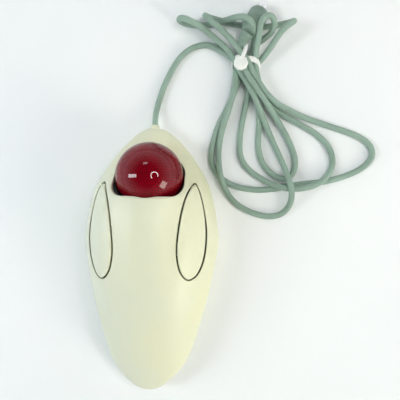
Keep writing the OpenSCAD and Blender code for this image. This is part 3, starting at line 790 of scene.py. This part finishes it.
def lipped_cutter(name, outline, lip, low):
    """A cutter that leaves a rounded lip of that radius where it comes through the casing."""
    rings = [[(x, y, low) for x, y in outline]]
    for k in range(7):
        angle = math.pi / 2 * k / 6
        wide = inset(outline, -lip * (1 - math.cos(angle)))
        rings.append([(x, y, top_z(x, y) - lip * (1 - math.sin(angle)) + 0.02) for x, y in wide])
    wide = inset(outline, -lip - 0.3)
    rings.append([(x, y, top_z(x, y) + 0.6) for x, y in wide])
    rings.append([(x, y, 70) for x, y in wide])
    bm = bmesh.new()
    stack(bm, rings)
    return to_object(name, bm)


def mirrored(outline):
    return [(-x, y) for x, y in reversed(outline)]


def gap_share(x, y):
    """Share of the gap that closes up along the outer front edge, where the button runs
    into the casing."""
    return smoothstep(27, 29.5, abs(x)) * smoothstep(20, 31, y)


class TRACKBALL_OT_upper_casing(bpy.types.Operator):
    """Build the upper casing with its opening, button gaps and rounded lips"""

    bl_idname = "trackball.upper_casing"
    bl_label = "Upper casing"

    def execute(self, context):
        shell = to_object("upper_shell", dome(0, 150, 250, 0))
        hollow = to_object("hollow", dome(WALL, 80, 130, 3))
        edge = closed_curve(BUTTON, 10)
        edge = inset(edge, [0.42 * gap_share(x, y) for x, y in edge])
        cutters = [
            lipped_cutter("ball_opening", opening_outline(), sizes().lip / MM, SEAM_Z + 1),
            lipped_cutter("right_gap", edge, 0.25, SEAM_Z + 4),
            lipped_cutter("left_gap", mirrored(edge), 0.25, SEAM_Z + 4),
        ]
        bm = bmesh.new()
        bmesh.ops.create_uvsphere(bm, u_segments=96, v_segments=64, radius=BALL_ROOM)
        move(bm, BALL_AT)
        cutters.append(to_object("ball_room", bm))
        cutters.append(nose_bore("nose_bore"))
        cut(shell, [hollow, *cutters])
        place(shell, "casing", finish("casing"), ["upper_casing"], "casing_shell")
        return {"FINISHED"}


def nose_bore(name):
    """The bore in the nose that the strain relief comes through."""
    bm = rod(NOSE_R, 30)
    swing(bm, "X", 90)
    move(bm, (0, 87, NOSE_Z))
    return to_object(name, bm)


class TRACKBALL_OT_base_casing(bpy.types.Operator):
    """Build the base with its recesses for the feet, the screws and the label"""

    bl_idname = "trackball.base_casing"
    bl_label = "Base casing"

    def execute(self, context):
        base = tub("base_shell", [(1, 5.5), (1.25, 4.6), (1.9, 3.5), (2.9, 2.2), (4.2, 1.1),
                                  (5.5, 0.4), (6.75, 0), (7, 0.3)])
        inside = tub("inside", [(3, 6.6), (4.8, 3.6), (8, 2.4)])
        cutters = [inside, nose_bore("nose_bore"),
                   block("label_recess", (LABEL["size"][0] + 0.4, LABEL["size"][1] + 0.4, 1.25),
                         (0, LABEL["y"], 0))]
        cutters += [column("foot_recess", at, 4.6, 0, 1.45) for at in FEET]
        for at in [*CASE_SCREWS, *CUP_SCREWS]:
            cutters.append(column("head_recess", at, 2.5, 0, 2))
            cutters.append(column("screw_hole", at, 1.4, 1.8, 9))
        cut(base, cutters)
        place(base, "casing", finish("casing"), ["base_casing"], "casing_shell")
        return {"FINISHED"}


def tub(name, levels):
    """The casing's outline carried up through levels: (height, inset)."""
    steps = 120
    side = [-HALF_LENGTH * math.cos(math.pi * i / steps) for i in range(1, steps)]
    outline = [(0, -HALF_LENGTH), *[(half_width(y), y) for y in side], (0, HALF_LENGTH),
               *[(-half_width(y), y) for y in reversed(side)]]
    bm = bmesh.new()
    stack(bm, [[(x * (1 - 2 * d / BODY_WIDTH), y * (1 - d / HALF_LENGTH), z) for x, y in outline]
               for z, d in levels])
    return to_object(name, bm)


def rise(x, y):
    """How far the right button stands above the casing."""
    across = smoothstep(0, 1, (35 - x) / 13)
    along = min(max((48 - y) / 18, 0), 1)
    return 0.15 + (BUTTON_RISE - 0.15) * across * along


def button(name, side):
    """One button: a crowned top with a rounded edge, straight walls and a hollow underside.
    side is 1 for the right one and -1 for the left one."""
    edge = inset(closed_curve(BUTTON, 10), BUTTON_GAP)
    radius = sizes().button_edge / MM
    mx, my = BUTTON_MIDDLE

    def ring(outline, drop):
        return [(x, y, top_z(x, y) + rise(x, y) - drop) for x, y in outline]

    def share_of(outline, s):
        return [(mx + s * (x - mx), my + s * (y - my)) for x, y in outline]

    rings = [[(x, y, top_z(x, y) - 2.2) for x, y in share_of(edge, s)] for s in (0.3, 0.7, 0.94)]
    rings.append([(x, y, top_z(x, y) - 2.2) for x, y in edge])
    rings.append([(x, y, top_z(x, y) - 1.2) for x, y in edge])
    for k in range(7):
        angle = math.pi / 2 * k / 6
        rings.append(ring(inset(edge, radius * (1 - math.cos(angle))),
                          radius * (1 - math.sin(angle))))
    inner = inset(edge, radius)
    rings += [ring(share_of(inner, s), 0) for s in (0.92, 0.8, 0.65, 0.5, 0.35, 0.2, 0.08)]
    bm = bmesh.new()
    stack(bm, rings)
    if side < 0:
        bmesh.ops.scale(bm, vec=(-1, 1, 1), verts=bm.verts)
        bmesh.ops.recalc_face_normals(bm, faces=bm.faces)
    piece = to_object(name, bm)
    x, y = POST_AT
    post = column("post", (x * side, y), 2.4, POST_LOW, top_z(x, y) - 0.8)
    x, y = PIVOT_AT
    lug = block("lug", (3, 3.4, top_z(x, y) - 1 - PIVOT_Z), (x * side, y - 0.3, PIVOT_Z))
    bm = rod(1.2, 7.2, 32)
    swing(bm, "Y", 90)
    move(bm, ((x - 0.5) * side, y, PIVOT_Z))
    return cut(piece, [post, lug, to_object("pivot", bm)], join=True)


class TRACKBALL_OT_buttons(bpy.types.Operator):
    """Build the two long side buttons"""

    bl_idname = "trackball.buttons"
    bl_label = "Buttons"

    def execute(self, context):
        for side, hand in ((1, "right"), (-1, "left")):
            place(button(f"{hand}_button_cap", side), f"{hand}_button", finish("button"),
                  [f"{hand}_button"], "button_shell")
        return {"FINISHED"}


class TRACKBALL_OT_ball(bpy.types.Operator):
    """Build the ball with its lattice of dots"""

    bl_idname = "trackball.ball"
    bl_label = "Ball"

    def execute(self, context):
        radius = sizes().ball_radius / MM
        bm = bmesh.new()
        bmesh.ops.create_icosphere(bm, subdivisions=1, radius=radius)
        bmesh.ops.subdivide_edges(bm, edges=bm.edges, cuts=sizes().dots_to_edge - 1,
                                  use_grid_fill=True)
        for vert in bm.verts:
            vert.co = vert.co.normalized() * radius
        dots = [v.co.copy() for v in bm.verts]
        bmesh.ops.subdivide_edges(bm, edges=bm.edges, cuts=3, use_grid_fill=True)
        layer = bm.verts.layers.float.new("dot_distance")
        tree = KDTree(len(dots))
        for i, dot in enumerate(dots):
            tree.insert(dot, i)
        tree.balance()
        for vert in bm.verts:
            vert.co = vert.co.normalized() * radius
            vert[layer] = tree.find(vert.co)[2] * MM
        move(bm, BALL_AT)
        piece = to_object("red_ball", bm, sharp=60)
        place(piece, "ball", ball_resin(), ["ball"], "ball_resin")
        return {"FINISHED"}


def turned(profile, segments=64, hollow=False):
    """A solid of revolution about Z from (radius, height) pairs, in millimetres. The pairs
    start and end on the axis, or run right round the section of a hollow ring."""
    bm = bmesh.new()
    verts = [bm.verts.new((r, 0, z)) for r, z in profile]
    ends = [*verts[1:], verts[0]] if hollow else verts[1:]
    edges = [bm.edges.new(pair) for pair in zip(verts, ends)]
    bmesh.ops.spin(bm, geom=[*verts, *edges], cent=(0, 0, 0), axis=(0, 0, 1), dvec=(0, 0, 0),
                   angle=math.tau, steps=segments, use_merge=True)
    bmesh.ops.remove_doubles(bm, verts=bm.verts, dist=0.001)
    bmesh.ops.recalc_face_normals(bm, faces=bm.faces)
    return bm


def arc(cx, cz, radius, start, end, steps=6):
    """Points on a round corner, from one angle to another, in degrees."""
    return [(cx + radius * math.cos(math.radians(start + (end - start) * k / steps)),
             cz + radius * math.sin(math.radians(start + (end - start) * k / steps)))
            for k in range(steps + 1)]


class TRACKBALL_OT_small_parts(bpy.types.Operator):
    """Build the collar at the nose and the rubber feet"""

    bl_idname = "trackball.small_parts"
    bl_label = "Collar and feet"

    def execute(self, context):
        profile = [(0, 0), (2.8, 0), (2.8, 5.7), *arc(2.3, 6.3, 0.5, 0, 60, 4), (2.12, 7.4),
                   (1.95, 7.5), (0, 7.5)]
        bm = turned(profile, 48)
        swing(bm, "X", -90)
        move(bm, (0, 77, NOSE_Z))
        collar = to_object("nose_collar", bm)
        flange = block("flange", (9, 1.8, 5), (0, 77.1, 3.4))
        place(cut(collar, [flange], join=True), "casing", finish("casing"), ["strain_relief"],
              "casing_shell")
        profile = [(0, 0), (3.9, 0), *arc(4.1, 0.4, 0.4, -90, 0, 5), (4.5, 1.4), (0, 1.4)]
        bm = bmesh.new()
        for at in FEET:
            foot = turned(profile, 40)
            move(foot, (*at, 0))
            mesh = bpy.data.meshes.new("foot")
            foot.to_mesh(mesh)
            foot.free()
            bm.from_mesh(mesh)
            bpy.data.meshes.remove(mesh)
        place(to_object("rubber_feet", bm), "casing", finish("rubber"), ["feet"], "foot_rubber")
        return {"FINISHED"}


def sweep(route, radii, sides):
    """A closed tube along a route with one radius at each point, in millimetres."""
    rings = []
    for i, here in enumerate(route):
        before, after = route[max(i - 1, 0)], route[min(i + 1, len(route) - 1)]
        way = (Vector(after) - Vector(before)).normalized()
        across = way.cross(Vector((0, 0, 1))).normalized()
        up = across.cross(way)
        rings.append([Vector(here) + radii[i] * (math.cos(a) * across + math.sin(a) * up)
                      for a in (math.tau * k / sides for k in range(sides))])
    bm = bmesh.new()
    stack(bm, rings)
    return bm


class TRACKBALL_OT_tie(bpy.types.Operator):
    """Build the nylon tie round the middle of the loops"""

    bl_idname = "trackball.tie"
    bl_label = "Tie"

    def execute(self, context):
        w = WAIST
        half, radius = (w["width"] - w["height"]) / 2, w["height"] / 2 + 0.6
        path = []
        for side in (1, -1):
            for k in range(17):
                a = math.radians(90 - 180 * k / 16)
                path.append((side * (half + radius * math.cos(a)), side * radius * math.sin(a)))
        # Section of the band: (outwards, along the cord)
        section = [(-0.45, -1.6), (-0.25, -1.8), (0.4, -1.8), (0.7, -1.5), (0.7, 1.5),
                   (0.4, 1.8), (-0.25, 1.8), (-0.45, 1.6)]
        rings = []
        for i, (u, v) in enumerate(path):
            u0, v0 = path[i - 1]
            u1, v1 = path[(i + 1) % len(path)]
            out = Vector((v0 - v1, 0, u1 - u0)).normalized()
            lean = 0.1 * u - 0.75 * v
            middle = Vector((w["at"][0] + u, w["at"][1] - lean, w["z"] + v))
            rings.append([middle + out * d + Vector((0, s, 0)) for d, s in section])
        bm = bmesh.new()
        hoop(bm, rings)
        band = to_object("tie_band", bm, sharp=50)
        hx, hy = TIE_HEAD
        knob = turned([(0, 9.9), (3.6, 9.9), *arc(3.7, 10.8, 0.85, -90, 0, 4),
                       *arc(3.4, 12.2, 1.15, 0, 80, 5), (1.6, 13.5), (0, 13.55)], 9)
        move(knob, (hx, hy, 0))
        route = [(0.6, 1.5, 12), (1.2, 4.5, 12.5), (2.2, 7.2, 12.7), (2.8, 9.4, 12.6),
                 (3.5, 11.4, 12.5)]
        tail = sweep([(hx + x, hy + y, z) for x, y, z in route], [1.3, 1.25, 1.2, 1.15, 0.8], 12)
        for vert in tail.verts:
            vert.co.z = 12.4 + 0.5 * (vert.co.z - 12.4)
        cut(band, [to_object("knob", knob), to_object("tail", tail)], join=True, sharp=40)
        place(band, "casing", nylon(), ["cord_tie"], "tie_nylon")
        return {"FINISHED"}


def to_plug(bm):
    """Turns and moves a bmesh made about Z so that Z runs along the plug, from its grip's
    front face."""
    swing(bm, "X", -90 - PLUG["tilt"])
    swing(bm, "Z", PLUG["turn"])
    move(bm, PLUG["front"])
    return bm


class TRACKBALL_OT_plug(bpy.types.Operator):
    """Build the plug: its flexible relief, its grip and its metal shell"""

    bl_idname = "trackball.plug"
    bl_label = "Plug"

    def execute(self, context):
        vinyl = jacket("plug_vinyl", darker(finish_settings().cord, 0.8))
        route = open_curve(RELIEF, 12)
        last = len(route) - 1
        radius = sizes().cord_diameter / MM / 2
        radii = [radius + 0.15 + 1.6 * i / last + (0.3 if i % 6 < 3 and 3 < i < last - 2 else 0)
                 for i in range(last + 1)]
        relief = to_object("plug_boot", sweep(route, radii, 32), sharp=50)
        place(relief, "casing", vinyl, ["plug_relief"], "cord_jacket")

        r, length = PLUG["radius"], PLUG["length"]
        body = [(0, -length), (3.5, -length), *arc(4.1, -length + 0.6, 0.6, -90, -20, 4),
                (r - 1.1, -length + 3.6), *arc(r - 2.6, -length + 6.6, 2.6, -35, 0, 5)]
        for k in range(3):
            z = -length + 7.6 + 1.5 * k
            body += [(r, z), (r - 0.3, z + 0.25), (r - 0.3, z + 0.65), (r, z + 0.9)]
        body += [(r, 1.8), *arc(r - 1.2, 2, 1.2, 0, 90, 6), (r - 1.7, 3.2), (r - 1.7, 0), (0, 0)]
        grip = to_object("plug_body", to_plug(turned(body)), sharp=40)
        place(grip, "casing", vinyl, ["plug_grip"], "cord_jacket")

        outer, depth = PLUG["shell"], PLUG["shell_length"]
        ring = [(outer - 0.4, 0.05), (outer, 0.05), (outer, depth - 0.25),
                *arc(outer - 0.2, depth - 0.2, 0.2, 0, 180, 6)]
        shell = to_object("plug_sleeve", to_plug(turned(ring, hollow=True)), sharp=40)
        place(shell, "casing", finish("plating"), ["plug_shell"], "steel")

        return {"FINISHED"}


# Finishes that more than one piece takes, each made when it is first asked for
MAKERS = {
    "casing": lambda: moulded_plastic("casing_plastic", finish_settings().casing,
                                      finish_settings().casing_yellowed_and_warm_lit),
    "button": lambda: moulded_plastic("button_plastic", finish_settings().casing,
                                      finish_settings().casing_yellowed_and_warm_lit),
    "rubber": lambda: dull("foot_rubber", (0.1, 0.1, 0.1), 0.75, 0.0005),
    "plating": lambda: metal("plug_plating", (0.8, 0.81, 0.82), 0.18),
    "steel": lambda: metal("bright_steel", (0.72, 0.72, 0.73), 0.22),
    "black": lambda: dull("black_plastic", (0.018, 0.018, 0.02), 0.45),
    "resin": lambda: dull("inner_resin", (0.25, 0.004, 0.012), 0.35),
    "board": circuit_board,
    "clear": clear_plastic,
    "chip": lambda: dull("chip_epoxy", (0.022, 0.022, 0.024), 0.5, 0.0003),
    "component": lambda: dull("component_lacquer", (0.5, 0.34, 0.12), 0.35, 0.0005),
    "cream": lambda: dull("connector_nylon", (0.78, 0.76, 0.66), 0.4),
    "red": lambda: dull("plunger_red", (0.55, 0.03, 0.02), 0.35),
    "film": label_film,
    "gold": lambda: metal("contact_gold", (0.83, 0.62, 0.28), 0.2),
    "jacket": lambda: jacket("inner_jacket", finish_settings().cord),
}
MADE = {}


def finish(name):
    if name not in MADE:
        MADE[name] = MAKERS[name]()
    return MADE[name]


# What each piece that keeps its own shape is finished in
KEPT = {
    "ball_core": "resin", "ball_middle": "resin", "ball_cup": "black",
    "support_ball_front": "steel", "support_ball_left": "steel", "support_ball_right": "steel",
    "optics_holder": "black", "sensor_lens": "clear", "sensor_chip": "chip",
    "sensor_board": "board", "led_left": "clear", "led_right": "clear", "main_board": "board",
    "controller_chip": "chip", "resonator": "component", "capacitors": "component",
    "resistors": "component", "board_link": "cream", "left_switch_case": "black",
    "right_switch_case": "black", "left_switch_plunger": "red", "right_switch_plunger": "red",
    "left_switch_terminals": "steel", "right_switch_terminals": "steel",
    "cable_header": "cream", "cable_connector": "cream", "inner_lead": "jacket",
    "case_screws": "steel", "cup_screws": "steel", "board_screws": "steel",
    "rating_label": "film", "plug_insert": "black", "plug_pins": "gold",
}


class TRACKBALL_OT_kept_parts(bpy.types.Operator):
    """Give every part that keeps its own shape its finish"""

    bl_idname = "trackball.kept_parts"
    bl_label = "Kept parts"

    def execute(self, context):
        for node, name in KEPT.items():
            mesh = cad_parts[node].data
            mesh.materials.clear()
            mesh.materials.append(finish(name))
        return {"FINISHED"}


def area_light(name, at, towards, size, power, colour):
    data = bpy.data.lights.new(name, "AREA")
    data.shape = "RECTANGLE"
    data.size, data.size_y = size
    data.energy = power
    data.color = colour
    lamp = bpy.data.objects.new(name, data)
    bpy.context.scene.collection.objects.link(lamp)
    lamp.location = at
    lamp.rotation_euler = (Vector(towards) - Vector(at)).to_track_quat("-Z", "Y").to_euler()
    return lamp


def ring_lamp(at, towards, radius, thick, strength):
    """An open ring of tube light, in millimetres, which is seen only in reflections."""
    bm = bmesh.new()
    verts = bmesh.ops.create_circle(bm, segments=16, radius=thick)["verts"]
    swing(bm, "X", 90)
    move(bm, (radius, 0, 0))
    bmesh.ops.spin(bm, geom=[*verts, *bm.edges], cent=(0, 0, 0), axis=(0, 0, 1), dvec=(0, 0, 0),
                   angle=math.radians(250), steps=48, use_merge=False)
    close(bm)
    swing(bm, "Z", -110)
    facing = (Vector(towards) - Vector(at)).to_track_quat("-Z", "Y").to_matrix()
    bmesh.ops.rotate(bm, cent=(0, 0, 0), verts=bm.verts, matrix=facing)
    move(bm, at)
    lamp = to_object("ring_lamp", bm)
    glow = bpy.data.materials.new("ring_lamp_glow")
    glow.use_nodes = True
    shader = glow.node_tree.nodes["Principled BSDF"]
    shader.inputs["Emission Color"].default_value = (1, 0.98, 0.94, 1)
    shader.inputs["Emission Strength"].default_value = strength
    lamp.data.materials.append(glow)
    lamp.visible_camera = False


class TRACKBALL_OT_stage(bpy.types.Operator):
    """Lay the pale floor and set the soft lights"""

    bl_idname = "trackball.stage"
    bl_label = "Stage"

    def execute(self, context):
        bm = bmesh.new()
        bmesh.ops.create_grid(bm, x_segments=2, y_segments=2, size=3000)
        move(bm, (0, 0, -0.1))
        floor = to_object("floor", bm)
        white = (0.93, 0.95, 0.955)
        f = Finish("floor_white", white, 0.75)
        f.colour(f.mix(f.ramp(f.noise(0.12, 2), 0.3, 0.7), white, (0.9, 0.93, 0.94)))
        floor.data.materials.append(f.material)
        area_light("window", (-0.62, 0.02, 0.56), (0, 0.03, 0.02), (0.14, 0.42), 2.7,
                   (0.9, 0.97, 1))
        area_light("high_window", (-0.1, 0.6, 0.7), (0, 0.05, 0.02), (0.2, 0.1), 0.35,
                   (0.92, 0.98, 1))
        area_light("warm_side", (0.85, -0.45, 0.5), (0, 0, 0.02), (0.4, 0.4), 4.2, (1, 0.96, 0.84))
        ring_lamp((270, 40, 620), (30, 40, 0), 130, 16, 26)
        world = bpy.data.worlds.new("soft_room")
        world.use_nodes = True
        background = world.node_tree.nodes["Background"]
        nodes, links = world.node_tree.nodes, world.node_tree.links
        split = nodes.new("ShaderNodeSeparateXYZ")
        links.new(nodes.new("ShaderNodeTexCoord").outputs["Generated"], split.inputs[0])
        # Bright towards the horizon and dark overhead
        sky = nodes.new("ShaderNodeValToRGB")
        sky.color_ramp.elements[0].color = (1.3, 1.35, 1.38, 1)
        sky.color_ramp.elements[1].color = (0.02, 0.02, 0.022, 1)
        sky.color_ramp.elements[1].position = 0.8
        links.new(split.outputs["Z"], sky.inputs["Fac"])
        links.new(sky.outputs["Color"], background.inputs["Color"])
        context.scene.world = world
        context.scene.view_settings.view_transform = "Standard"
        return {"FINISHED"}


STEPS = (TRACKBALL_OT_camera, TRACKBALL_OT_cord, TRACKBALL_OT_upper_casing,
         TRACKBALL_OT_base_casing, TRACKBALL_OT_buttons, TRACKBALL_OT_ball,
         TRACKBALL_OT_small_parts, TRACKBALL_OT_tie, TRACKBALL_OT_plug, TRACKBALL_OT_kept_parts,
         TRACKBALL_OT_stage)
GROUPS = {"trackball_finish": TrackballFinish, "trackball_sizes": TrackballSizes,
          "trackball_view": TrackballView}


class TRACKBALL_PT_panel(bpy.types.Panel):
    """Lists the steps in the order that they are run."""

    bl_idname = "TRACKBALL_PT_panel"
    bl_label = "Trackball"
    bl_space_type = "VIEW_3D"
    bl_region_type = "UI"
    bl_category = "Trackball"

    def draw(self, context):
        for group in GROUPS:
            settings = getattr(context.scene, group)
            for name in settings.bl_rna.properties.keys():
                if name not in ("rna_type", "name"):
                    self.layout.prop(settings, name)
        for step in STEPS:
            self.layout.operator(step.bl_idname)


def register():
    for made in (*GROUPS.values(), *STEPS, TRACKBALL_PT_panel):
        bpy.utils.register_class(made)
    for name, group in GROUPS.items():
        setattr(bpy.types.Scene, name, bpy.props.PointerProperty(type=group))


def unregister():
    for name in GROUPS:
        delattr(bpy.types.Scene, name)
    for made in reversed((*GROUPS.values(), *STEPS, TRACKBALL_PT_panel)):
        bpy.utils.unregister_class(made)


def main():
    register()
    for step in STEPS:
        getattr(bpy.ops.trackball, step.bl_idname.split(".")[1])()


if __name__ == "__main__":
    main()
